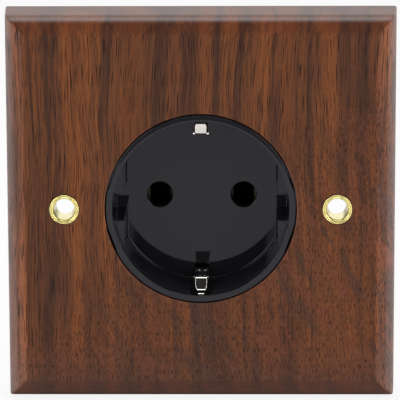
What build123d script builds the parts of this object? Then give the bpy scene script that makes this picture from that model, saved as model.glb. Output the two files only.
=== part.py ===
import os

from build123d import *

# Earthed wall socket in a square walnut plate, millimetres.
# X runs to the right seen from the room, Z up, and Y from the room into the wall.
# Y = 0 is the wall plane, at the back of the plate's rim. Depths are counted from the plate's front face.

# walnut plate
plate_side = 87.0
plate_depth = 13.5
side_lean = 0.8
bevel_width = 3.95
bevel_drop = 1.3
edge_round = 2.2
panel_thick = 6.0
rim_width = 6.0
hollow_round = 6.0
hole_ease = 0.3

# brass eyelets for the box screws
screw_spacing = 60.3
eyelet_bore = 2.2
eyelet_wall = 0.5
eyelet_rim = 3.27
rim_height = 0.5

# plug recess
recess_radius = 19.5
recess_depth = 17.8
ring_wall = 1.8
ring_ease = 0.3
floor_thick = 2.2
flat_inset = 2.5
flat_depth = 3.0
notch_width = 6.0
channel_width = 4.5
channel_depth = 0.7

# pin entries
pin_spacing = 19.0
pin_hole = 2.8
pin_ease = 0.3

# flange behind the panel
flange_thick = 2.4
flange_round = 8.0
flange_side_room = 1.9
flange_end_room = 6.0
flange_inset = 5.5

# pan head screws
head_radius = 2.4
head_height = 1.5
shank_radius = 1.2
shank_hole = 1.45
flange_screw_length = 5.6
base_screw_length = 8.6

# pin contacts and their wire clamps
grip_gap = 4.6
leaf_thick = 0.6
contact_room = 3.0
clamp_offset = 3.9
clamp_length = 6.0
clamp_width = 7.0
clamp_depth = 8.0
wire_hole = 1.6
wire_entry = 2.2
wire_shift = 0.8
wire_stop = 1.0
clamp_screw = 1.5
clamp_bite = 2.4
clamp_stand = 0.9
clamp_slot = 0.6
clamp_slot_depth = 0.7

# contact housing behind the recess floor
base_depth = 21.0
base_back_wall = 2.0
base_side_wall = 1.55
driver_hole = 2.1
boss_x = 10.8
boss_z = 11.8
boss_radius = 2.8
boss_end_room = 0.4

# earth strip, one bent spring with a clip at each end
strip_thick = 0.7
strip_bend = 0.9
strip_width = 3.8
leg_width = 3.0
leg_inset = 2.65
crest_inset = 3.57
crest_depth = 4.95
knee_inset = 2.8
knee_depth = 8.6
lip_inset = 0.75
lip_depth = 2.6
tip_rise = 1.3
tip_spread = 0.65
finger_width = 2.7
finger_corner = 0.7
ear_start = 4.2
ear_length = 2.0

# gaps between neighbours
insert_gap = 0.25
eyelet_gap = 0.05
pocket_gap = 0.05
screw_gap = 0.02
boss_gap = 0.15
leaf_gap = 0.6
slot_gap = 1.0
slot_side_gap = 0.2

hollow_half = plate_side / 2 - rim_width
eyelet_x = screw_spacing / 2
ring_outer = recess_radius + ring_wall
flange_half_x = eyelet_x - eyelet_rim - flange_side_room
flange_half_z = hollow_half - flange_end_room
flange_back = panel_thick + flange_thick
floor_back = recess_depth + floor_thick
base_back = floor_back + base_depth
pocket_back = base_back - base_back_wall
pin_x = pin_spacing / 2
leaf_outer = grip_gap / 2 + leaf_thick
clamp_near = pin_x + clamp_offset
clamp_far = clamp_near + clamp_length
wire_x = clamp_near + clamp_length / 2 - wire_shift
base_radius = clamp_far + pocket_gap + base_side_wall
leg_z = recess_radius - leg_inset
flange_spots = [(x, z) for x in (flange_inset - flange_half_x, flange_half_x - flange_inset)
                for z in (flange_inset - flange_half_z, flange_half_z - flange_inset)]
boss_spots = [(boss_x, -boss_z), (-boss_x, boss_z)]
# the wire clamps lie left and right of the centre, deep in the housing, and below it, on the earth strip
pin_clamp_front = pocket_back - clamp_depth
earth_clamp_front = floor_back + strip_thick
clamp_left = (Rot(0, 180, 0), pin_clamp_front)
clamp_right = (Rot(0, 0, 0), pin_clamp_front)
clamp_below = (Rot(0, 90, 0), earth_clamp_front)


def front_plane(depth):
    return Plane(origin=(0, depth - plate_depth, 0), x_dir=(1, 0, 0), z_dir=(0, -1, 0))


def prism(sketch, start, end):
    return extrude(front_plane(start) * sketch, amount=start - end)


def round_bar(radius, start, end, x=0, z=0):
    return prism(Pos(x, z) * Circle(radius), start, end)


def block(x0, x1, z0, z1, start, end):
    return prism(Pos((x0 + x1) / 2, (z0 + z1) / 2) * Rectangle(x1 - x0, z1 - z0), start, end)


# a round bar along X
def side_bar(radius, x0, x1, depth):
    spot = Plane(origin=(x0, depth - plate_depth, 0), x_dir=(0, 0, 1), z_dir=(1, 0, 0))
    return extrude(spot * Circle(radius), amount=x1 - x0)


def circles_at(part, depth, radius):
    y = depth - plate_depth
    circles = part.edges().filter_by(GeomType.CIRCLE)
    return [e for e in circles if abs(e.center().Y - y) < 0.01 and abs(e.radius - radius) < 0.01]


# The sides lean in a little towards the front, where they round over into a bevel with mitred corners.
# The back is hollowed inside a rim.
def wood_plate():
    far = plate_side - side_lean
    against_wall = (Align.CENTER, Align.MIN, Align.CENTER)
    plate = Wedge(plate_side, plate_depth, plate_side, side_lean, side_lean, far, far, align=against_wall)
    plate = Rot(0, 0, 180) * plate
    front = plate.faces().sort_by(Axis.Y)[0]
    plate = chamfer(front.edges(), bevel_width, bevel_drop, reference=front)
    # counted from the front, the bevel's outer edges come after its crease and its mitres
    plate = fillet(plate.edges().group_by(Axis.Y)[2], edge_round)
    plate -= prism(RectangleRounded(2 * hollow_half, 2 * hollow_half, hollow_round), panel_thick, plate_depth)
    hole = ring_outer + insert_gap
    plate -= round_bar(hole, 0, panel_thick)
    plate = chamfer(circles_at(plate, 0, hole), hole_ease)
    for x in (-eyelet_x, eyelet_x):
        plate -= round_bar(eyelet_bore + eyelet_wall + eyelet_gap, 0, panel_thick, x)
        plate -= round_bar(eyelet_rim + insert_gap, panel_thick, plate_depth, x)
    for x, z in flange_spots:
        end = flange_back - flange_screw_length - screw_gap
        plate -= round_bar(shank_radius + screw_gap, end, panel_thick, x, z)
    return plate


# A tube with both rims turned outward: a raised bead on the face and a flare behind the panel.
def eyelet(x):
    barrel = eyelet_bore + eyelet_wall
    crest = (eyelet_bore + eyelet_rim) / 2
    bead = [(eyelet_bore, 0), (crest, -rim_height), (eyelet_rim, 0), (barrel, 0)]
    flare = [(barrel, panel_thick), (eyelet_rim, panel_thick), (eyelet_bore, panel_thick + rim_height)]
    section = Polygon(*bead, *flare, align=None)
    return Pos(x, -plate_depth, 0) * revolve(section, Axis.Y)


# Side flats narrow the round recess, with a guide notch through the middle of each.
def recess_outline():
    full = Circle(recess_radius)
    tall = Rectangle(2 * (recess_radius - flat_inset), 3 * recess_radius)
    wide = Rectangle(3 * recess_radius, notch_width)
    return (full & tall) + (full & wide)


# Moulded insert: the ring shows flush in the plate, and the flange seats behind the panel.
def socket_cup():
    cup = round_bar(ring_outer, 0, floor_back)
    flange = RectangleRounded(2 * flange_half_x, 2 * flange_half_z, flange_round)
    cup += prism(flange, panel_thick, flange_back)
    cup = chamfer(circles_at(cup, 0, ring_outer), ring_ease)
    cup -= round_bar(recess_radius, 0, flat_depth)
    cup = chamfer(circles_at(cup, 0, recess_radius), ring_ease)
    cup -= prism(recess_outline(), flat_depth, recess_depth)
    channel = Circle(recess_radius + channel_depth) & Rectangle(channel_width, 3 * recess_radius)
    cup -= prism(channel, ring_ease, recess_depth)
    for x, z in boss_spots:
        cup += round_bar(boss_radius, floor_back, pocket_back - boss_end_room, x, z)
        end = base_back - base_screw_length - screw_gap
        cup -= round_bar(shank_radius + screw_gap, end, pocket_back, x, z)
    for x in (-pin_x, pin_x):
        cup -= round_bar(pin_hole, recess_depth, floor_back, x)
    cup = chamfer(circles_at(cup, recess_depth, pin_hole), pin_ease)
    half_slot = leg_width / 2 + slot_side_gap
    slot_top = leg_z + strip_thick + slot_gap
    slot = block(-half_slot, half_slot, leg_z - slot_gap, slot_top, recess_depth, floor_back)
    cup -= slot
    cup -= mirror(slot, Plane.XY)
    for x, z in flange_spots:
        cup -= round_bar(shank_hole, panel_thick, flange_back, x, z)
    return cup


# Housing with a pocket for each contact, wire entries in the back and driver openings in the side.
def contact_base():
    base = round_bar(base_radius, floor_back, base_back)
    half = clamp_width / 2 + pocket_gap
    far = clamp_far + pocket_gap
    pin_side = pin_x - leaf_outer - leaf_gap
    earth_side = clamp_near - pocket_gap
    for (place, front), near in ((clamp_left, pin_side), (clamp_right, pin_side), (clamp_below, earth_side)):
        back = front + clamp_depth
        base -= place * block(near, far, -half, half, floor_back, back)
        base -= place * round_bar(wire_entry, back, base_back, wire_x)
        base -= place * side_bar(driver_hole, clamp_far, base_radius, front + clamp_depth / 2)
    reach = leg_z + strip_thick + pocket_gap
    half_track = strip_width / 2 + pocket_gap
    base -= block(-half_track, half_track, -reach, reach, floor_back, floor_back + strip_thick + pocket_gap)
    for x, z in boss_spots:
        base -= round_bar(boss_radius + boss_gap, floor_back, pocket_back, x, z)
        base -= round_bar(shank_hole, pocket_back, base_back, x, z)
    return base


# Brass block with a blind hole for the wire and a tapped one across it.
def wire_clamp(place, front):
    back = front + clamp_depth
    body = block(clamp_near, clamp_far, -clamp_width / 2, clamp_width / 2, front, back)
    body -= round_bar(wire_hole, front + wire_stop, back, wire_x)
    body -= side_bar(clamp_screw + screw_gap, wire_x, clamp_far, front + clamp_depth / 2)
    return place * body


# Headless slotted screw whose point reaches into the wire hole.
def clamp_screw_at(place, front):
    middle = front + clamp_depth / 2
    top = clamp_far + clamp_stand
    screw = side_bar(clamp_screw, clamp_far - clamp_bite, top, middle)
    screw -= Pos(top, middle - plate_depth, 0) * Box(2 * clamp_slot_depth, 2 * clamp_screw, clamp_slot)
    return place * screw


# Strip folded over the pin: two leaves grip it from the sides, and a tab of the fold reaches the wire clamp.
def pin_contact():
    inner = grip_gap / 2
    start = floor_back + contact_room
    top = clamp_width / 2
    under = top - leaf_thick
    fork = block(pin_x - leaf_outer, pin_x + leaf_outer, -under, top, start, pocket_back)
    fork -= block(pin_x - inner, pin_x + inner, -under, under, start, pocket_back)
    return fork + block(pin_x + leaf_outer, clamp_near, under, top, pin_clamp_front, pocket_back)


# The strip runs behind the recess floor and rises through it to a sprung clip above and below.
def earth_strip():
    lip_z = recess_radius - lip_inset
    upper = [
        (lip_depth - tip_rise, lip_z + tip_spread),
        (lip_depth, lip_z),
        (crest_depth, recess_radius - crest_inset),
        (knee_depth, recess_radius - knee_inset),
        (floor_back, leg_z),
    ]
    path = FilletPolyline(*upper, *[(d, -z) for d, z in reversed(upper)], radius=strip_bend)
    ribbon = make_face(path.wire().offset_2d(strip_thick, side=Side.LEFT, closed=True))
    side = Plane(origin=(0, -plate_depth, 0), x_dir=(0, 1, 0), z_dir=(1, 0, 0))
    strip = extrude(side * ribbon, amount=strip_width / 2, both=True)
    return strip & extrude(strip_plan(), amount=2 * recess_radius, both=True)


# Width of the strip along its depth: rounded finger, ears at the crest, narrower leg, full bridge.
def strip_plan():
    ear_end = ear_start + ear_length
    tip = lip_depth - tip_rise - strip_thick
    finger_length = ear_start + finger_corner - tip
    plan = Pos(0, tip + finger_length / 2) * RectangleRounded(finger_width, finger_length, finger_corner)
    plan += Pos(0, ear_start + ear_length / 2) * Rectangle(strip_width, ear_length)
    plan += Pos(0, (ear_end + floor_back) / 2) * Rectangle(leg_width, floor_back - ear_end)
    plan += Pos(0, floor_back + strip_thick / 2) * Rectangle(strip_width, strip_thick)
    return Pos(0, -plate_depth, 0) * plan


def pan_screw(x, z, seat, length):
    head = round_bar(head_radius, seat, seat + head_height, x, z)
    return head + round_bar(shank_radius, seat - length, seat, x, z)


clamp_screws = [clamp_screw_at(*spot) for spot in (clamp_left, clamp_right, clamp_below)]
flange_screws = [pan_screw(x, z, flange_back, flange_screw_length) for x, z in flange_spots]
base_screws = [pan_screw(x, z, base_back, base_screw_length) for x, z in boss_spots]
pieces = {
    "wood_plate": wood_plate(),
    "eyelet_left": eyelet(-eyelet_x),
    "eyelet_right": eyelet(eyelet_x),
    "socket_cup": socket_cup(),
    "contact_base": contact_base(),
    "earth_strip": earth_strip(),
    "pin_contact_left": mirror(pin_contact(), Plane.YZ),
    "pin_contact_right": pin_contact(),
    "wire_clamp_left": wire_clamp(*clamp_left),
    "wire_clamp_right": wire_clamp(*clamp_right),
    "wire_clamp_earth": wire_clamp(*clamp_below),
    "clamp_screws": Compound(children=clamp_screws),
    "flange_screws": Compound(children=flange_screws),
    "base_screws": Compound(children=base_screws),
}

os.makedirs("parts", exist_ok=True)
for name, shape in pieces.items():
    export_step(shape, f"parts/{name}.step")
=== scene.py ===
import math

import bmesh
import bpy
from mathutils import Matrix, Vector


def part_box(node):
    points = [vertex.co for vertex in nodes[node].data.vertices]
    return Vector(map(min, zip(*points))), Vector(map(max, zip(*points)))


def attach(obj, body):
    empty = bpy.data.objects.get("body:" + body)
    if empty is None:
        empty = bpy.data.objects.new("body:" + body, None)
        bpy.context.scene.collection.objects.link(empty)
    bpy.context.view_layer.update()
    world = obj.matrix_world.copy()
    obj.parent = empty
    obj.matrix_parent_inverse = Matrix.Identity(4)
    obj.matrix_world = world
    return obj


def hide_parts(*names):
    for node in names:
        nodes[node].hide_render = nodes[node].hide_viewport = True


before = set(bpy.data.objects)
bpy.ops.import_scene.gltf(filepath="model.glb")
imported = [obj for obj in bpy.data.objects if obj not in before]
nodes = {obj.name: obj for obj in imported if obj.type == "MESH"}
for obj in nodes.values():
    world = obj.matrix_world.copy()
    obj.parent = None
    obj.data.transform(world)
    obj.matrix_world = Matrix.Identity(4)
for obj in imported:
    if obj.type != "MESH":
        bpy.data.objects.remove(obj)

scene = bpy.context.scene
scene.view_settings.view_transform = "Standard"
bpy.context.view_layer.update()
mm = 0.001
past = 1.0  # mm by which a cutting shape reaches beyond the face it cuts
plateLow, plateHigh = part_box("wood_plate")
plateHalf = plateHigh.x / mm
plateDepth = (plateHigh.y - plateLow.y) / mm
# shapes are drawn in mm: x to the right, depth behind the plate's front face, z up
toFrame = Matrix.Translation((0, plateLow.y, 0)) @ Matrix.Scale(mm, 4)
print("frame loaded,", len(nodes), "CAD nodes")


# mesh tools shared by the pieces

def addLoop(bm, points):
    return [bm.verts.new(p) for p in points]


def skin(bm, loops, around=False):
    pairs = list(zip(loops, loops[1:]))
    if around:
        pairs.append((loops[-1], loops[0]))
    for a, b in pairs:
        for i in range(len(a)):
            j = (i + 1) % len(a)
            bm.faces.new((a[i], a[j], b[j], b[i]))


def toObject(bm, name):
    bmesh.ops.recalc_face_normals(bm, faces=bm.faces)
    mesh = bpy.data.meshes.new(name)
    bm.to_mesh(mesh)
    bm.free()
    piece = bpy.data.objects.new(name, mesh)
    scene.collection.objects.link(piece)
    return piece


def stacked(name, loops, around=False):
    bm = bmesh.new()
    rows = [addLoop(bm, points) for points in loops]
    skin(bm, rows, around)
    if not around:
        bm.faces.new(rows[0])
        bm.faces.new(rows[-1])
    return toObject(bm, name)


def circleAt(radius, depth, x, z, steps):
    turns = [2 * math.pi * i / steps for i in range(steps)]
    return [(x + radius * math.cos(t), depth, z + radius * math.sin(t)) for t in turns]


def turned(name, profile, x=0.0, z=0.0, steps=64, around=False):
    return stacked(name, [circleAt(r, d, x, z, steps) for r, d in profile], around)


def drilled(piece, name, radius, start, end, x, z, steps):
    combine(piece, turned(name, [(radius, start), (radius, end)], x, z, steps))


def squareLoop(halfX, halfZ, corner, depth, steps=8):
    points = []
    for quarter, (sx, sz) in enumerate(((1, 1), (-1, 1), (-1, -1), (1, -1))):
        for i in range(steps + 1):
            t = math.pi / 2 * (quarter + i / steps)
            points.append((sx * (halfX - corner) + corner * math.cos(t), depth,
                           sz * (halfZ - corner) + corner * math.sin(t)))
    return points


def fourCorners(x, z):
    return [(sx * x, sz * z) for sx in (-1, 1) for sz in (-1, 1)]


def roundLip(radius, lip, steps=6):
    # profile of a hole whose mouth at depth 0 is eased by a quarter round
    points = []
    for i in range(steps + 1):
        t = math.pi / 2 * i / steps
        points.append((radius + lip * (1 - math.sin(t)), lip * (1 - math.cos(t))))
    return points


def easedCorner(before, here, after, steps):
    # points of the curve that leads round a corner
    shares = [i / steps for i in range(steps + 1)]
    return [before * (1 - t) ** 2 + here * 2 * t * (1 - t) + after * t ** 2 for t in shares]


def bentPath(points, bends, steps=8, reach=0.45):
    # a path with each corner eased by its own bend, along no more than that share of a side
    path = [Vector(points[0])]
    for before, here, after, bend in zip(points, points[1:], points[2:], bends):
        here = Vector(here)
        inward = Vector(before) - here
        onward = Vector(after) - here
        back = bend / math.tan(inward.angle(onward) / 2)
        back = min(back, reach * inward.length, reach * onward.length)
        start = here + inward.normalized() * back
        end = here + onward.normalized() * back
        path += easedCorner(start, here, end, steps)
    path.append(Vector(points[-1]))
    return path


def applyModifiers(piece):
    depsgraph = bpy.context.evaluated_depsgraph_get()
    mesh = bpy.data.meshes.new_from_object(piece.evaluated_get(depsgraph))
    old = piece.data
    piece.modifiers.clear()
    piece.data = mesh
    bpy.data.meshes.remove(old)


def combine(piece, other, how="DIFFERENCE"):
    step = piece.modifiers.new(how.lower(), "BOOLEAN")
    step.operation = how
    step.solver = "EXACT"
    step.object = other
    applyModifiers(piece)
    bpy.data.objects.remove(other)


def settle(piece, node, material, sharp=32):
    piece.data.materials.clear()
    piece.data.materials.append(material)
    piece.data.shade_smooth()
    piece.data.set_sharp_from_angle(angle=math.radians(sharp))
    weigh = piece.modifiers.new("flat faces first", "WEIGHTED_NORMAL")
    weigh.keep_sharp = True
    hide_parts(node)
    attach(piece, "root")


# node tools shared by the finishes

def newFinish(name):
    finish = bpy.data.materials.new(name)
    finish.use_nodes = True
    tree = finish.node_tree
    tree.nodes.clear()
    out = tree.nodes.new("ShaderNodeOutputMaterial")
    shader = tree.nodes.new("ShaderNodeBsdfPrincipled")
    tree.links.new(shader.outputs["BSDF"], out.inputs["Surface"])
    return finish, tree, shader


def feed(tree, socket, value):
    if isinstance(value, bpy.types.NodeSocket):
        tree.links.new(value, socket)
    else:
        socket.default_value = value


def calc(tree, how, a, b=0.0):
    node = tree.nodes.new("ShaderNodeMath")
    node.operation = how
    feed(tree, node.inputs[0], a)
    feed(tree, node.inputs[1], b)
    return node.outputs[0]


def fade(tree, value, low, high, start=0.0, end=1.0):
    # runs softly from start to end while the value goes from low to high
    node = tree.nodes.new("ShaderNodeMapRange")
    node.interpolation_type = "SMOOTHSTEP"
    for socket, given in zip(node.inputs[:5], (value, low, high, start, end)):
        feed(tree, socket, given)
    return node.outputs[0]


def blendColour(tree, amount, a, b, how="MIX"):
    node = tree.nodes.new("ShaderNodeMix")
    node.data_type = "RGBA"
    node.blend_type = how
    feed(tree, node.inputs[0], amount)
    for socket, colour in zip(node.inputs[6:8], (a, b)):
        feed(tree, socket, colour if isinstance(colour, bpy.types.NodeSocket) else (*colour, 1.0))
    return node.outputs[2]


def millimetres(tree):
    # the piece's own place in mm
    place = tree.nodes.new("ShaderNodeTexCoord")
    scale = tree.nodes.new("ShaderNodeVectorMath")
    scale.operation = "SCALE"
    tree.links.new(place.outputs["Object"], scale.inputs[0])
    scale.inputs["Scale"].default_value = 1 / mm
    return scale.outputs[0]


def axes(tree, vector):
    split = tree.nodes.new("ShaderNodeSeparateXYZ")
    tree.links.new(vector, split.inputs[0])
    return split.outputs[0], split.outputs[1], split.outputs[2]


def stretched(tree, spot, factors):
    join = tree.nodes.new("ShaderNodeCombineXYZ")
    for socket, value, factor in zip(join.inputs, spot, factors):
        feed(tree, socket, calc(tree, "MULTIPLY", value, factor))
    return join.outputs[0]


def noise(tree, vector, scale=1.0, detail=2.0, rough=0.5, twist=0.0):
    node = tree.nodes.new("ShaderNodeTexNoise")
    feed(tree, node.inputs["Vector"], vector)
    node.inputs["Scale"].default_value = scale
    node.inputs["Detail"].default_value = detail
    node.inputs["Roughness"].default_value = rough
    node.inputs["Distortion"].default_value = twist
    return node.outputs[0]


def ramp(tree, value, stops):
    node = tree.nodes.new("ShaderNodeValToRGB")
    feed(tree, node.inputs[0], value)
    strip = node.color_ramp.elements
    while len(strip) < len(stops):
        strip.new(0.5)
    for stop, (at, colour) in zip(strip, stops):
        stop.position = at
        stop.color = (*colour, 1.0)
    return node.outputs[0]


def emboss(tree, shader, height, depth, strength):
    node = tree.nodes.new("ShaderNodeBump")
    node.inputs["Strength"].default_value = strength
    node.inputs["Distance"].default_value = depth * mm
    feed(tree, node.inputs["Height"], height)
    tree.links.new(node.outputs[0], shader.inputs["Normal"])


# oiled walnut: upright grain in darker and warmer bands, long pores above, short ones below
walnutLook = {
    "shade": (0.053, 0.022, 0.014), "body": (0.115, 0.041, 0.018), "warm": (0.196, 0.062, 0.019),
    "dark": (0.042, 0.020, 0.014), "glow": (0.184, 0.056, 0.017), "red": (0.152, 0.049, 0.025),
    # the foot colour is a painted reflection of the pale floor, greying the plate low down
    "grey": (0.073, 0.037, 0.027), "foot": (0.094, 0.046, 0.032), "pore": (0.016, 0.007, 0.005),
    # the first is a painted sheen lifting the left and right bevels; the second darkens top and foot as end
    # grain, partly real and partly painted shade
    "paintedSideSheen": (1.72, 1.68, 1.74), "endGrainAndPaintedShade": (0.74, 0.67, 0.70),
    # x of the middle, half width, strength, and the z at which the band dies out downwards
    "darkBands": ((-33.8, 2.7, 0.55, -60), (-20.8, 1.2, 0.75, 6), (-9.2, 2.4, 0.55, 4),
                  (3.8, 1.3, 0.75, 16), (9.4, 2.8, 0.65, 8), (16.4, 0.9, 0.75, 10),
                  (24.0, 2.2, 0.80, 2), (32.3, 1.4, 0.75, 0), (36.8, 0.9, 0.70, -5)),
    "warmBands": ((-28.3, 2.2, 0.45, -5), (-15.4, 3.4, 0.55, -12), (0.4, 1.6, 0.55, 18),
                  (20.0, 2.4, 0.65, 5), (28.6, 1.8, 0.60, 0)),
    "bandCore": 0.25, "bandEnd": 9.0,
    # how fine each figure is across, in depth and upwards
    "wander": (0.030, 0.05, 0.018), "broad": (0.17, 0.10, 0.008), "fine": (0.75, 0.35, 0.020),
    "hair": (2.8, 2.2, 0.055), "clouds": (0.26, 0.25, 0.07), "longPores": (4.2, 3.4, 0.15),
    "shortPores": (4.8, 3.4, 0.80), "fibres": (5.0, 5.0, 0.5),
    "sway": 8.0, "ringShares": (0.42, 0.32, 0.26), "ringStops": (0.40, 0.50, 0.60),
    "lowSlope": 0.75, "cloudSlope": 0.5, "fibreShare": 0.25, "relief": (0.06, 0.5),
    # fades: from, to, and the values there
    "bandBreaks": (0.62, 0.40, 0.45, 1.0), "lower": (-16.0, 30.0),
    "redClouds": (0.47, 0.62, 0.0, 0.70), "greyClouds": (0.50, 0.36, 0.0, 0.65),
    "paintedFloorSheenRise": (-29.0, -41.0, 0.0, 0.55), "paintedSideSheenSpan": (0.06, 0.26), "ends": (0.06, 0.40),
    "longCut": (0.54, 0.66), "longWhere": (0.8, 0.2, 0.25, 0.85),
    "shortCut": (0.50, 0.66), "shortWhere": (0.1, 0.6, 0.25, 0.75),
    "ior": 1.5, "roughness": (0.3, 1.3, 0.36, 0.52), "shine": (0.035, 0.22, 0.12, 1.0),
    "roundDull": (0.45, 0.75, 1.0, 0.74), "endDull": (0.96, 0.998, 1.0, 0.74),
    "footDull": (-0.05, -0.28, 1.0, 0.25),
}


def grainBands(tree, colour, bands, tint, gx, z, fine, look):
    for middle, half, strength, bottom in bands:
        off = calc(tree, "ABSOLUTE", calc(tree, "SUBTRACT", gx, middle))
        band = calc(tree, "MULTIPLY", fade(tree, off, half, half * look["bandCore"]), strength)
        end = fade(tree, z, bottom - look["bandEnd"], bottom + look["bandEnd"])
        band = calc(tree, "MULTIPLY", band, end)
        band = calc(tree, "MULTIPLY", band, fade(tree, fine, *look["bandBreaks"]))
        colour = blendColour(tree, band, colour, tint)
    return colour


def walnutFinish(look):
    finish, tree, shader = newFinish("oiled walnut")
    x, y, z = axes(tree, millimetres(tree))

    def figure(name, across, **how):
        return noise(tree, stretched(tree, (across, y, z), look[name]), **how)

    def times(a, b):
        return calc(tree, "MULTIPLY", a, b)

    gx = calc(tree, "ADD", x, times(calc(tree, "SUBTRACT", figure("wander", x), 0.5), look["sway"]))
    # growth rings: broad, fine and hair-thin
    broad = figure("broad", gx, detail=3.0, rough=0.55)
    fine = figure("fine", gx, detail=3.0, rough=0.6)
    hair = figure("hair", gx, rough=0.6)
    shares = [times(part, share) for part, share in zip((broad, fine, hair), look["ringShares"])]
    rings = calc(tree, "ADD", calc(tree, "ADD", shares[0], shares[1]), shares[2])
    tones = [look[name] for name in ("shade", "body", "warm")]
    colour = ramp(tree, rings, list(zip(look["ringStops"], tones)))
    colour = grainBands(tree, colour, look["darkBands"], look["dark"], gx, z, fine, look)
    colour = grainBands(tree, colour, look["warmBands"], look["glow"], gx, z, fine, look)
    # the lower right is redder and mottled; the foot is greyer, a painted reflection of the pale floor
    across = calc(tree, "SUBTRACT", times(x, look["lowSlope"]), z)
    low = fade(tree, across, *look["lower"])
    slanted = calc(tree, "ADD", x, times(z, look["cloudSlope"]))
    clouds = figure("clouds", slanted, detail=3.0, rough=0.55, twist=0.3)
    colour = blendColour(tree, times(low, fade(tree, clouds, *look["redClouds"])), colour, look["red"])
    colour = blendColour(tree, times(low, fade(tree, clouds, *look["greyClouds"])), colour, look["grey"])
    colour = blendColour(tree, fade(tree, z, *look["paintedFloorSheenRise"]), colour, look["foot"])
    # painted sheen: the bevels left and right are lifted in colour as if lit from the sides; top and foot
    # faces take the darker end grain, partly real and partly painted shade
    geometry = tree.nodes.new("ShaderNodeNewGeometry")
    sideways, _, upward = axes(tree, geometry.outputs["Normal"])
    paintedSideSheenMask = fade(tree, calc(tree, "ABSOLUTE", sideways), *look["paintedSideSheenSpan"])
    colour = blendColour(tree, paintedSideSheenMask, colour, look["paintedSideSheen"], "MULTIPLY")
    # darker end grain on top and foot: partly real, partly painted shade where the overhead lamp lights the
    # top bevel
    upright = calc(tree, "ABSOLUTE", upward)
    ends = fade(tree, upright, *look["ends"])
    colour = blendColour(tree, ends, colour, look["endGrainAndPaintedShade"], "MULTIPLY")
    # pores, none in the end grain
    long = fade(tree, figure("longPores", gx, detail=1.0), *look["longCut"])
    short = fade(tree, figure("shortPores", gx, detail=1.0), *look["shortCut"])
    long = times(long, fade(tree, low, *look["longWhere"]))
    short = times(short, fade(tree, low, *look["shortWhere"]))
    pores = times(calc(tree, "MAXIMUM", long, short), calc(tree, "SUBTRACT", 1.0, ends))
    feed(tree, shader.inputs["Base Color"], blendColour(tree, pores, colour, look["pore"]))
    rough = fade(tree, calc(tree, "ADD", pores, fine), *look["roughness"])
    feed(tree, shader.inputs["Roughness"], rough)
    shader.inputs["IOR"].default_value = look["ior"]
    # the oil shines at grazing angles only, and less on the end grain
    weight = tree.nodes.new("ShaderNodeLayerWeight")
    shine = fade(tree, weight.outputs["Facing"], *look["shine"])
    shine = times(shine, fade(tree, upright, *look["roundDull"]))
    shine = times(shine, fade(tree, upright, *look["endDull"]))
    shine = times(shine, fade(tree, upward, *look["footDull"]))
    feed(tree, shader.inputs["Specular IOR Level"], shine)
    height = calc(tree, "SUBTRACT", times(figure("fibres", gx), look["fibreShare"]), pores)
    emboss(tree, shader, height, *look["relief"])
    return finish


# glossy black moulding with faint ripples and finger marks
blackLook = {
    "body": (0.0115, 0.0113, 0.0135), "lift": (0.0140, 0.0137, 0.0165), "tint": (0.93, 0.92, 1.0, 1.0),
    "smudge": 0.14, "grain": 2.2, "ripple": 0.55, "liftFrom": 0.30, "liftTo": 0.75,
    "gloss": (0.40, 0.68, 0.02, 0.06), "relief": (0.02, 0.12), "ior": 1.40,
}


def blackFinish(look):
    finish, tree, shader = newFinish("glossy black moulding")
    place = millimetres(tree)
    smudge = noise(tree, place, look["smudge"], detail=4.0, rough=0.6, twist=0.5)
    grain = noise(tree, place, look["grain"], detail=3.0)
    colour = ramp(tree, grain, ((look["liftFrom"], look["body"]), (look["liftTo"], look["lift"])))
    feed(tree, shader.inputs["Base Color"], colour)
    feed(tree, shader.inputs["Roughness"], fade(tree, smudge, *look["gloss"]))
    shader.inputs["IOR"].default_value = look["ior"]
    shader.inputs["Specular Tint"].default_value = look["tint"]
    emboss(tree, shader, noise(tree, place, look["ripple"]), *look["relief"])
    return finish


# matt black housing, spark-textured
mattLook = {
    "body": (0.014, 0.014, 0.015), "lift": (0.026, 0.026, 0.027),
    "grain": 5.0, "wear": 0.25, "liftFrom": 0.35, "liftTo": 0.70,
    "roughness": (0.3, 0.7, 0.42, 0.60), "relief": (0.03, 0.5),
}


def mattFinish(look):
    finish, tree, shader = newFinish("matt black moulding")
    place = millimetres(tree)
    grain = noise(tree, place, look["grain"], detail=3.0, rough=0.7)
    wear = noise(tree, place, look["wear"], detail=4.0)
    colour = ramp(tree, wear, ((look["liftFrom"], look["body"]), (look["liftTo"], look["lift"])))
    feed(tree, shader.inputs["Base Color"], colour)
    feed(tree, shader.inputs["Roughness"], fade(tree, grain, *look["roughness"]))
    emboss(tree, shader, grain, *look["relief"])
    return finish


# metals: colour, darker tarnish, roughness range, how scratches are drawn out, and their strength
metalLook = {
    "pale brass": {"body": (0.95, 0.86, 0.42), "tarnish": (0.78, 0.68, 0.30), "rough": (0.20, 0.28),
                   "draw": (0.5, 0.25, 0.5), "marks": 0.02},
    "contact brass": {"body": (0.80, 0.58, 0.24), "tarnish": (0.45, 0.28, 0.11), "rough": (0.22, 0.42),
                      "draw": (2.0, 0.15, 2.0), "marks": 0.12},
    "nickel spring": {"body": (0.86, 0.82, 0.77), "tarnish": (0.66, 0.61, 0.55), "rough": (0.05, 0.09),
                      "draw": (4.0, 0.20, 0.20), "marks": 0.12},
    # brass darkened to near black as painted shade, for the contacts inside the housing
    "shade-darkened brass": {"body": (0.14, 0.11, 0.07), "tarnish": (0.08, 0.06, 0.04), "rough": (0.40, 0.60),
                   "draw": (2.0, 0.15, 2.0), "marks": 0.12},
    "zinc steel": {"body": (0.60, 0.60, 0.59), "tarnish": (0.36, 0.36, 0.35), "rough": (0.26, 0.48),
                   "draw": (0.8, 0.8, 0.8), "marks": 0.12},
}
metalWear = {"scratch": 2.5, "patch": 0.7, "stain": (0.52, 0.74, 0.0, 0.50), "scratchCut": (0.32, 0.70),
             "relief": 0.010}


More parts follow.
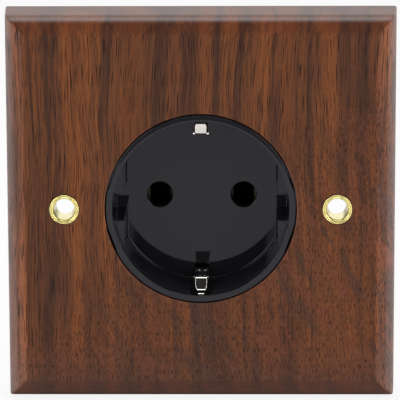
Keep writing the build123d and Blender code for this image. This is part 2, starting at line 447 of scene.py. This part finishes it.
def metalFinish(name, wear):
    look = metalLook[name]
    finish, tree, shader = newFinish(name)
    place = millimetres(tree)
    lines = stretched(tree, axes(tree, place), look["draw"])
    drawn = noise(tree, lines, wear["scratch"], detail=4.0, rough=0.65)
    patch = noise(tree, place, wear["patch"], detail=4.0, rough=0.6, twist=0.6)
    stain = fade(tree, patch, *wear["stain"])
    feed(tree, shader.inputs["Base Color"], blendColour(tree, stain, look["body"], look["tarnish"]))
    feed(tree, shader.inputs["Roughness"], fade(tree, drawn, *wear["scratchCut"], *look["rough"]))
    shader.inputs["Metallic"].default_value = 1.0
    emboss(tree, shader, drawn, wear["relief"], look["marks"])
    return finish


walnut = walnutFinish(walnutLook)
glossBlack = blackFinish(blackLook)
mattBlack = mattFinish(mattLook)
paleBrass = metalFinish("pale brass", metalWear)
contactBrass = metalFinish("contact brass", metalWear)
shadeDarkenedBrass = metalFinish("shade-darkened brass", metalWear)
nickelSpring = metalFinish("nickel spring", metalWear)
zincSteel = metalFinish("zinc steel", metalWear)
print("finishes ready")


# walnut plate: leaning sides rounded over into a mitred bevel, hollowed back, drilled
plateShape = {
    "lean": 0.8, "bevelWide": 3.95, "bevelDrop": 1.3, "faceRun": 2.0,
    "backEase": 0.35, "edgeRound": 3.3, "creaseRound": 5.0, "bendReach": 0.62, "corner": 0.45,
    "panel": 6.0, "rim": 6.0, "hollowRound": 6.0,
    "insertHole": 21.27, "insertLip": 0.16, "eyeletX": 30.15,
    # radius and depth of the eyelet's shallow seat and hole
    "eyeletSeat": ((3.60, -1.0), (3.56, 0.0), (3.46, 0.08), (3.42, 0.28), (2.75, 0.34)),
    "screwHole": 1.22, "screwX": 19.48, "screwZ": 26.0, "screwFrom": 2.78,
}


def makePlate(shape):
    # the edge's section as inset and depth, from the back over the side and the bevel to the front
    crease = shape["lean"] + shape["bevelWide"]
    shoulder = shape["lean"] * (1 - shape["bevelDrop"] / plateDepth)
    corners = [(shape["faceRun"], plateDepth), (0.0, plateDepth), (shoulder, shape["bevelDrop"]),
               (crease, 0.0), (crease + shape["faceRun"], 0.0)]
    bends = [shape[key] for key in ("backEase", "edgeRound", "creaseRound")]
    loops = []
    for inset, depth in bentPath(corners, bends, 12, shape["bendReach"]):
        loops.append(squareLoop(plateHalf - inset, plateHalf - inset, shape["corner"], depth))
    plate = stacked("walnutPlate", loops)
    panel = shape["panel"]
    half = plateHalf - shape["rim"]
    hollow = [squareLoop(half, half, shape["hollowRound"], d, 16) for d in (panel, plateDepth + past)]
    combine(plate, stacked("hollow", hollow))
    mouth = roundLip(shape["insertHole"], shape["insertLip"])
    profile = [(mouth[0][0], -past)] + mouth + [(shape["insertHole"], panel + past)]
    combine(plate, turned("insertHole", profile, steps=256))
    seat = list(shape["eyeletSeat"])
    seat.append((seat[-1][0], panel + past))
    for side in (-1, 1):
        combine(plate, turned("eyeletHole", seat, side * shape["eyeletX"], steps=96))
    for x, z in fourCorners(shape["screwX"], shape["screwZ"]):
        drilled(plate, "pilot", shape["screwHole"], shape["screwFrom"], panel + past, x, z, 32)
    return plate


plate = makePlate(plateShape)
plate.data.transform(toFrame)
settle(plate, "wood_plate", walnut)
print("walnut plate:", len(plate.data.polygons), "faces")


# black insert: ring flush with the plate, recess with side flats, guide notches and clip channels
insertShape = {
    "ringOuter": 20.97, "recess": 19.5, "ringEase": 0.16, "outerEase": 0.22, "ringDome": 5.2,
    "upperStep": 0.05, "mouthRun": 0.06, "flatX": 17.0, "flatDepth": 3.0, "flatEase": 0.28, "flatLean": 0.3,
    "notchHalf": 3.0, "channelHalf": 2.25, "channelRadius": 20.2, "cornerEase": 0.26,
    "recessDepth": 17.8, "floorThick": 2.2, "footEase": 0.35,
    "pinX": 9.5, "pinHole": 2.8, "pinLip": 0.32,
    "slotHalf": 1.6, "slotLow": 15.85, "slotHigh": 18.55, "slotRound": 0.2,
    "flangeX": 24.98, "flangeZ": 31.5, "flangeRound": 8.0, "flangeFront": 6.0, "flangeBack": 8.4,
    "flangeBite": 0.8, "screwX": 19.48, "screwZ": 26.0, "screwHole": 1.45,
    "bossX": 10.8, "bossZ": 11.8, "bossRadius": 2.8, "bossBack": 38.6, "bossBite": 0.5,
    "bossHole": 1.22, "bossHoleFrom": 32.38,
}


def recessOutline(shape, grow):
    # points of the lower recess, each marked where it belongs to a side flat or its notch
    r = shape["recess"] + grow
    flat = shape["flatX"] + grow
    notch = shape["notchHalf"] + grow
    channel = shape["channelHalf"] + grow
    deep = shape["channelRadius"] + grow
    notchAngle = math.asin(notch / r)
    flatAngle = math.acos(flat / r)
    nearAngle = math.acos(channel / r)
    deepAngle = math.acos(channel / deep)
    flatZ = r * math.sin(flatAngle)
    notchX = r * math.cos(notchAngle)
    quarter = [(notchX, notch), (flat, notch), (flat, flatZ)]
    raw = []

    def arc(radius, start, end, steps, side):
        for i in range(1, steps):
            t = start + (end - start) * i / steps
            raw.append((radius * math.cos(t), radius * math.sin(t), side, False))

    def corner(x, z, side):
        raw.append((x, z, side, True))

    for sign in (1, -1):
        base = 0.0 if sign == 1 else math.pi
        arc(r, base - notchAngle, base + notchAngle, 14, True)
        for x, z in quarter:
            corner(sign * x, sign * z, True)
        arc(r, base + flatAngle, base + nearAngle, 44, False)
        corner(sign * channel, sign * r * math.sin(nearAngle), False)
        corner(sign * channel, sign * deep * math.sin(deepAngle), False)
        arc(deep, base + deepAngle, base + math.pi - deepAngle, 10, False)
        corner(-sign * channel, sign * deep * math.sin(deepAngle), False)
        corner(-sign * channel, sign * r * math.sin(nearAngle), False)
        arc(r, base + math.pi - nearAngle, base + math.pi - flatAngle, 44, False)
        for x, z in reversed(quarter):
            corner(-sign * x, sign * z, True)
    points = []
    for i, (x, z, side, isCorner) in enumerate(raw):
        if not isCorner:
            points.append((x, z, side))
            continue
        here = Vector((x, z))
        before = here + (Vector(raw[i - 1][:2]) - here).normalized() * shape["cornerEase"]
        after = here + (Vector(raw[(i + 1) % len(raw)][:2]) - here).normalized() * shape["cornerEase"]
        points += [(spot.x, spot.y, side) for spot in easedCorner(before, here, after, 4)]
    return points


def lowerLoop(shape, grow, depth):
    return [(x, depth, z) for x, z, side in recessOutline(shape, grow)]


def upperLoop(shape, depth):
    # the round mouth in front of the side flats, point for point above the lower outline
    step = shape["upperStep"]
    radius = shape["recess"] + step
    loop = []
    for (x, z, side), (wideX, wideZ, _) in zip(recessOutline(shape, 0.0), recessOutline(shape, step)):
        if side:
            angle = math.atan2(z, x)
            loop.append((radius * math.cos(angle), depth, radius * math.sin(angle)))
        else:
            loop.append((wideX, depth, wideZ))
    return loop


def ringLoop(shape, radius, depth):
    angles = [math.atan2(z, x) for x, z, side in recessOutline(shape, 0.0)]
    return [(radius * math.cos(a), depth, radius * math.sin(a)) for a in angles]


def makeInsert(shape):
    ease = shape["ringEase"]
    outer = shape["ringOuter"]
    outerEase = shape["outerEase"]
    flatEase = shape["flatEase"]
    foot = shape["footEase"]
    floor = shape["recessDepth"]
    flat = shape["flatDepth"]
    back = floor + shape["floorThick"]
    front = shape["flangeFront"] - past
    rear = shape["flangeBack"] + past
    mouth = shape["recess"] + shape["upperStep"]
    rounds = [(math.sin(t), math.cos(t)) for t in (math.pi / 2 * i / 6 for i in range(7))]
    # the ring's face is slightly domed and falls away outwards
    inner = mouth + ease
    dome = [inner + (outer - outerEase - inner) * (6 - k) / 6 for k in range(6)]
    drops = [(r - inner) ** 2 / (2 * shape["ringDome"]) for r in dome]
    edge = drops[0] + outerEase
    loops = [ringLoop(shape, outer, back), ringLoop(shape, outer, edge)]
    loops += [ringLoop(shape, outer - outerEase * (1 - c), edge - outerEase * s) for s, c in rounds[1:]]
    loops += [ringLoop(shape, r, drop) for r, drop in zip(dome[1:], drops[1:])]
    # the ring's inner edge, then down the round mouth to the front of the flats
    loops += [ringLoop(shape, mouth + ease * (1 - s), ease * (1 - c)) for s, c in rounds]
    loops += [upperLoop(shape, depth) for depth in (ease + shape["mouthRun"], flat)]
    for s, c in rounds:
        loops.append(lowerLoop(shape, flatEase * (1 - s) * shape["flatLean"], flat + flatEase * (1 - c)))
    loops += [lowerLoop(shape, -foot * (1 - c), floor - foot * (1 - s)) for s, c in rounds]
    cup = stacked("socketInsert", loops)
    sheet = [squareLoop(shape["flangeX"], shape["flangeZ"], shape["flangeRound"], d, 16)
             for d in (shape["flangeFront"], shape["flangeBack"])]
    flange = stacked("flange", sheet)
    for x, z in fourCorners(shape["screwX"], shape["screwZ"]):
        drilled(flange, "screwHole", shape["screwHole"], front, rear, x, z, 48)
    drilled(flange, "middle", mouth + shape["flangeBite"], front, rear, 0.0, 0.0, 192)
    combine(cup, flange, "UNION")
    for side in (-1, 1):
        x, z = side * shape["bossX"], -side * shape["bossZ"]
        boss = [(shape["bossRadius"], back - shape["bossBite"]), (shape["bossRadius"], shape["bossBack"])]
        combine(cup, turned("boss", boss, x, z, 64), "UNION")
        holeEnd = shape["bossBack"] + past
        drilled(cup, "bossHole", shape["bossHole"], shape["bossHoleFrom"], holeEnd, x, z, 32)
        lip = [(r, floor + d) for r, d in roundLip(shape["pinHole"], shape["pinLip"], 8)]
        entry = [(lip[0][0], floor - past)] + lip + [(shape["pinHole"], back + past)]
        combine(cup, turned("pinEntry", entry, side * shape["pinX"], steps=128))
        middle = side * (shape["slotLow"] + shape["slotHigh"]) / 2
        tall = (shape["slotHigh"] - shape["slotLow"]) / 2
        slot = []
        for depth in (floor - past, back + past):
            loop = squareLoop(shape["slotHalf"], tall, shape["slotRound"], depth, 4)
            slot.append([(x, d, z + middle) for x, d, z in loop])
        combine(cup, stacked("clipSlot", slot))
    return cup


insert = makeInsert(insertShape)
insert.data.transform(toFrame)
settle(insert, "socket_cup", glossBlack)
print("black insert:", len(insert.data.polygons), "faces")


# brass eyelets: outer rim, groove, rolled inner bead, barrel, flared behind the panel
eyeletShape = {
    "x": 30.15, "panel": 6.0, "barrel": 2.70, "rimBack": 0.14, "flareGap": 0.02,
    # radius and height in front of the plate, from the rim's edge to the bore
    "front": ((3.27, -0.08), (3.27, 0.14), (3.25, 0.22), (3.20, 0.28), (3.13, 0.29), (3.06, 0.25),
              (3.00, 0.14), (2.95, 0.03), (2.89, 0.03), (2.85, 0.14), (2.80, 0.26), (2.72, 0.33),
              (2.62, 0.31), (2.53, 0.22), (2.46, 0.08), (2.42, -0.08), (2.36, -0.14), (2.34, -0.24),
              (2.32, -0.60)),
    # radius and depth, from the bore to the edge of the flare
    "rear": ((2.06, 5.30), (2.08, 5.80), (2.18, 6.15), (2.36, 6.40), (2.62, 6.50), (2.90, 6.46),
             (3.12, 6.32), (3.25, 6.15), (3.27, 6.02)),
}


def makeEyelet(name, side, shape):
    profile = [(r, -h) for r, h in shape["front"]] + list(shape["rear"])
    profile += [(shape["barrel"], shape["panel"] + shape["flareGap"]), (shape["barrel"], shape["rimBack"])]
    return turned(name, profile, side * shape["x"], steps=144, around=True)


for name, node, side in (("eyeletLeft", "eyelet_left", -1), ("eyeletRight", "eyelet_right", 1)):
    eyelet = makeEyelet(name, side, eyeletShape)
    eyelet.data.transform(toFrame)
    settle(eyelet, node, paleBrass, sharp=50)
print("eyelets ready")


# earth strip: one bent spring, its inner face along these depths and distances from the middle
stripShape = {
    "inner": ((1.30, 19.40), (2.60, 18.75), (4.25, 15.93), (8.60, 16.70), (20.0, 16.85)),
    "bend": 0.9, "thick": 0.7, "edge": 0.16, "edgeShare": 0.3, "spacing": 0.12,
    # widths, and the depths at which they change
    "finger": 2.7, "tipRound": 0.75, "neck": 2.1, "ear": 3.45, "leg": 3.0, "bridge": 3.8,
    "neckTo": 3.1, "neckRun": 0.5, "earFrom": 4.35, "earTo": 6.2, "bridgeFrom": 20.0, "shoulder": 0.12,
}


def clamped(value):
    return min(max(value, 0.0), 1.0)


def stripWidth(shape, depth, tip):
    def rise(at):
        return clamped((depth - at) / shape["shoulder"] + 0.5)

    # the finger narrows towards its tip
    narrow = clamped((shape["neckTo"] - depth) / shape["neckRun"])
    width = shape["finger"] - (shape["finger"] - shape["neck"]) * narrow
    width += (shape["ear"] - shape["finger"]) * rise(shape["earFrom"])
    width += (shape["leg"] - shape["ear"]) * rise(shape["earTo"])
    width += (shape["bridge"] - shape["leg"]) * rise(shape["bridgeFrom"])
    if tip < shape["tipRound"]:
        gone = shape["tipRound"] - tip
        width -= 2 * (shape["tipRound"] - math.sqrt(max(shape["tipRound"] ** 2 - gone ** 2, 0.0)))
    return width


def makeStrip(shape):
    upper = list(shape["inner"])
    points = upper + [(d, -z) for d, z in reversed(upper)]
    coarse = bentPath(points, [shape["bend"]] * len(points))
    path = [coarse[0]]
    for spot in coarse[1:]:
        start = path[-1]
        count = max(1, math.ceil((spot - start).length / shape["spacing"]))
        path += [start.lerp(spot, (k + 1) / count) for k in range(count)]
    lengths = [0.0]
    for a, b in zip(path, path[1:]):
        lengths.append(lengths[-1] + (b - a).length)
    loops = []
    for i, spot in enumerate(path):
        ahead = path[min(i + 1, len(path) - 1)] - path[max(i - 1, 0)]
        outward = Vector((ahead.y, -ahead.x)).normalized() * -1
        tip = min(lengths[i], lengths[-1] - lengths[i])
        width = stripWidth(shape, spot.x, tip)
        edge = min(shape["edge"], width * shape["edgeShare"])
        section = squareLoop(width / 2, shape["thick"] / 2, edge, 0.0, 3)
        middle = spot + outward * shape["thick"] / 2
        loops.append([(x, middle.x + outward.x * t, middle.y + outward.y * t) for x, _, t in section])
    return stacked("earthStrip", loops)


strip = makeStrip(stripShape)
strip.data.transform(toFrame)
settle(strip, "earth_strip", nickelSpring)
print("earth strip:", len(strip.data.polygons), "faces")


# hidden works behind the plate keep their drawn shapes, with edges broken by this width
worksEase = {
    "contact_base": (mattBlack, 0.25),
    # the pin contacts and the earth clamp take the brass darkened as painted shade
    "pin_contact_left": (shadeDarkenedBrass, 0.10),
    "pin_contact_right": (shadeDarkenedBrass, 0.10),
    "wire_clamp_left": (contactBrass, 0.20),
    "wire_clamp_right": (contactBrass, 0.20),
    "wire_clamp_earth": (shadeDarkenedBrass, 0.20),
    "clamp_screws": (zincSteel, 0.08),
}
worksEdges = {"weld": 1e-6, "flatWithin": 1, "sharpFrom": 40, "rounds": 2}


def easedCopy(node, width, edges):
    bm = bmesh.new()
    bm.from_mesh(nodes[node].data)
    bmesh.ops.remove_doubles(bm, verts=bm.verts, dist=edges["weld"])
    flat = math.radians(edges["flatWithin"])
    bmesh.ops.dissolve_limit(bm, angle_limit=flat, verts=bm.verts, edges=bm.edges)
    first, *others = node.split("_")
    piece = toObject(bm, first + "".join(word.capitalize() for word in others))
    ease = piece.modifiers.new("broken edges", "BEVEL")
    ease.width = width * mm
    ease.segments = edges["rounds"]
    ease.limit_method = "ANGLE"
    ease.angle_limit = math.radians(edges["sharpFrom"])
    applyModifiers(piece)
    return piece


for node, (finish, width) in worksEase.items():
    settle(easedCopy(node, width, worksEdges), node, finish)
print("works behind the plate ready")


# pan head screws with a cross recess
screwShape = {
    "head": 2.4, "high": 1.5, "wall": 0.55, "crown": 1.1, "seatEase": 0.1, "shank": 1.2, "point": 0.4,
    "crossLong": 2.7, "crossWide": 0.62, "crossDeep": 0.8, "crossAbove": 0.4, "crossRound": 0.1,
    "crossFoot": 0.8, "crossMouth": 1.1,
}
bossSpots = [(side * insertShape["bossX"], -side * insertShape["bossZ"]) for side in (-1, 1)]
# node, name, seat, length under the head, and where they sit
screwSets = (
    ("flange_screws", "flangeScrews", insertShape["flangeBack"], 5.6,
     fourCorners(insertShape["screwX"], insertShape["screwZ"])),
    ("base_screws", "baseScrews", 41.0, 8.6, bossSpots),
)


def makePanScrews(name, seat, length, spots, shape):
    head, high, wall, crown, shank = (shape[key] for key in ("head", "high", "wall", "crown", "shank"))
    tip = seat - length
    profile = [(shank - shape["point"], tip), (shank, tip + shape["point"]), (shank, seat)]
    profile += [(head - shape["seatEase"], seat), (head, seat + shape["seatEase"])]
    for t in (math.pi / 2 * i / 8 for i in range(9)):
        profile.append((crown + (head - crown) * math.cos(t), seat + wall + (high - wall) * math.sin(t)))
    screw = turned("screw", profile)
    top = seat + high
    long, narrow = shape["crossLong"] / 2, shape["crossWide"] / 2
    for wide, tall in ((long, narrow), (narrow, long)):
        # each arm narrows a little towards its foot
        ends = ((shape["crossFoot"], top - shape["crossDeep"]),
                (shape["crossMouth"], top + shape["crossAbove"]))
        arm = [squareLoop(wide * k, tall * k, shape["crossRound"], depth, 3) for k, depth in ends]
        combine(screw, stacked("arm", arm))
    bm = bmesh.new()
    for x, z in spots:
        before = set(bm.verts)
        bm.from_mesh(screw.data)
        bmesh.ops.translate(bm, verts=[v for v in bm.verts if v not in before], vec=(x, 0, z))
    bpy.data.objects.remove(screw)
    return toObject(bm, name)


for node, name, seat, length, spots in screwSets:
    screws = makePanScrews(name, seat, length, spots, screwShape)
    screws.data.transform(toFrame)
    settle(screws, node, zincSteel)
print("pan head screws ready")


# pale floor under the plate, white studio around it
studio = {
    "floorColour": (0.80, 0.80, 0.80), "floorShade": 0.97, "floorSpan": 4.0, "floorGap": 0.0002,
    "floorCloud": 0.01, "floorStops": (0.3, 0.7), "floorRough": 0.9, "floorShow": 0.88,
    "roomLight": 0.39, "mirrorBack": 1.0, "mirrorFront": 0.025, "mirrorTurn": (-0.25, 0.50),
    # place, size and watts
    "lamps": (("overhead box", (0.0, -0.12, 0.85), 0.70, 4.4),
              ("left box", (-0.70, -0.80, 0.35), 0.50, 3.0),
              ("right box", (0.70, -0.80, 0.35), 0.50, 3.0),
              ("left rim", (-0.90, 0.24, 0.10), 0.80, 3.6),
              ("right rim", (0.90, 0.24, 0.10), 0.80, 3.6),
              ("left glint", (-0.60, -0.46, 0.65), 0.24, 0.5),
              ("right glint", (0.60, -0.46, 0.65), 0.24, 0.5)),
}


def makeFloor(setup):
    half = setup["floorSpan"] / 2
    ground = plateLow.z - setup["floorGap"]
    bm = bmesh.new()
    bm.faces.new(addLoop(bm, [(-half, -half, ground), (half, -half, ground),
                              (half, half, ground), (-half, half, ground)]))
    floor = toObject(bm, "paleFloor")
    finish, tree, shader = newFinish("pale floor")
    cloud = noise(tree, millimetres(tree), setup["floorCloud"], detail=3.0)
    tone = setup["floorColour"]
    shaded = tuple(c * setup["floorShade"] for c in tone)
    stops = list(zip(setup["floorStops"], (shaded, tone)))
    feed(tree, shader.inputs["Base Color"], ramp(tree, cloud, stops))
    shader.inputs["Roughness"].default_value = setup["floorRough"]
    # seen directly the floor is almost white, with the object's shadow on it
    seen = tree.nodes.new("ShaderNodeLightPath")
    glow = tree.nodes.new("ShaderNodeEmission")
    mix = tree.nodes.new("ShaderNodeMixShader")
    out = next(n for n in tree.nodes if n.type == "OUTPUT_MATERIAL")
    feed(tree, mix.inputs[0], calc(tree, "MULTIPLY", seen.outputs["Is Camera Ray"], setup["floorShow"]))
    tree.links.new(shader.outputs[0], mix.inputs[1])
    tree.links.new(glow.outputs[0], mix.inputs[2])
    tree.links.new(mix.outputs[0], out.inputs["Surface"])
    floor.data.materials.append(finish)


def makeRoom(setup):
    world = bpy.data.worlds.new("white studio")
    scene.world = world
    world.use_nodes = True
    tree = world.node_tree
    tree.nodes.clear()
    out = tree.nodes.new("ShaderNodeOutputWorld")
    sky = tree.nodes.new("ShaderNodeBackground")
    way = tree.nodes.new("ShaderNodeTexCoord")
    _, towardsBack, _ = axes(tree, way.outputs["Generated"])
    ray = tree.nodes.new("ShaderNodeLightPath")
    # white to look at, bright behind the object and dark before it in mirrors, dim as a light
    mirrored = fade(tree, towardsBack, *setup["mirrorTurn"], setup["mirrorFront"], setup["mirrorBack"])
    shown = calc(tree, "MAXIMUM", ray.outputs["Is Camera Ray"], ray.outputs["Is Transmission Ray"])
    glossy = calc(tree, "MULTIPLY", ray.outputs["Is Glossy Ray"], mirrored)
    plain = calc(tree, "SUBTRACT", 1.0, calc(tree, "MAXIMUM", shown, ray.outputs["Is Glossy Ray"]))
    lit = calc(tree, "MULTIPLY", plain, setup["roomLight"])
    feed(tree, sky.inputs["Strength"], calc(tree, "ADD", calc(tree, "MAXIMUM", shown, glossy), lit))
    sky.inputs["Color"].default_value = (1, 1, 1, 1)
    tree.links.new(sky.outputs[0], out.inputs["Surface"])


def makeLamps(setup):
    for name, place, size, watts in setup["lamps"]:
        data = bpy.data.lights.new(name, "AREA")
        data.shape = "SQUARE"
        data.size = size
        data.energy = watts
        lamp = bpy.data.objects.new(name, data)
        lamp.location = place
        lamp.visible_camera = False
        lamp.rotation_euler = (-Vector(place)).to_track_quat("-Z", "Y").to_euler()
        scene.collection.objects.link(lamp)


makeFloor(studio)
makeRoom(studio)
makeLamps(studio)
print("studio ready")


# camera at the photograph's angle: a long lens, a little above the plate and to its right
viewpoint = {
    "place": (0.00966, -0.67405, 0.13063),
    "yaw": 0.01485, "pitch": 0.19212, "roll": -0.0033,
    "focalPixels": 3052.1, "imagePixels": 400, "sensor": 36.0,
}


def makeCamera(view):
    yaw, pitch, roll = view["yaw"], view["pitch"], view["roll"]
    level = math.cos(pitch)
    forward = Vector((-math.sin(yaw) * level, math.cos(yaw) * level, -math.sin(pitch)))
    right = Vector((math.cos(yaw), math.sin(yaw), 0))
    up = right.cross(forward)
    rightTilted = right * math.cos(roll) + up * math.sin(roll)
    upTilted = up * math.cos(roll) - right * math.sin(roll)
    data = bpy.data.cameras.new("camera")
    data.sensor_fit = "HORIZONTAL"
    data.sensor_width = view["sensor"]
    data.lens = view["focalPixels"] * view["sensor"] / view["imagePixels"]
    camera = bpy.data.objects.new("camera", data)
    turn = Matrix((rightTilted, upTilted, -forward)).transposed().to_4x4()
    camera.matrix_world = Matrix.Translation(view["place"]) @ turn
    scene.collection.objects.link(camera)
    scene.camera = camera


makeCamera(viewpoint)
print("camera ready")
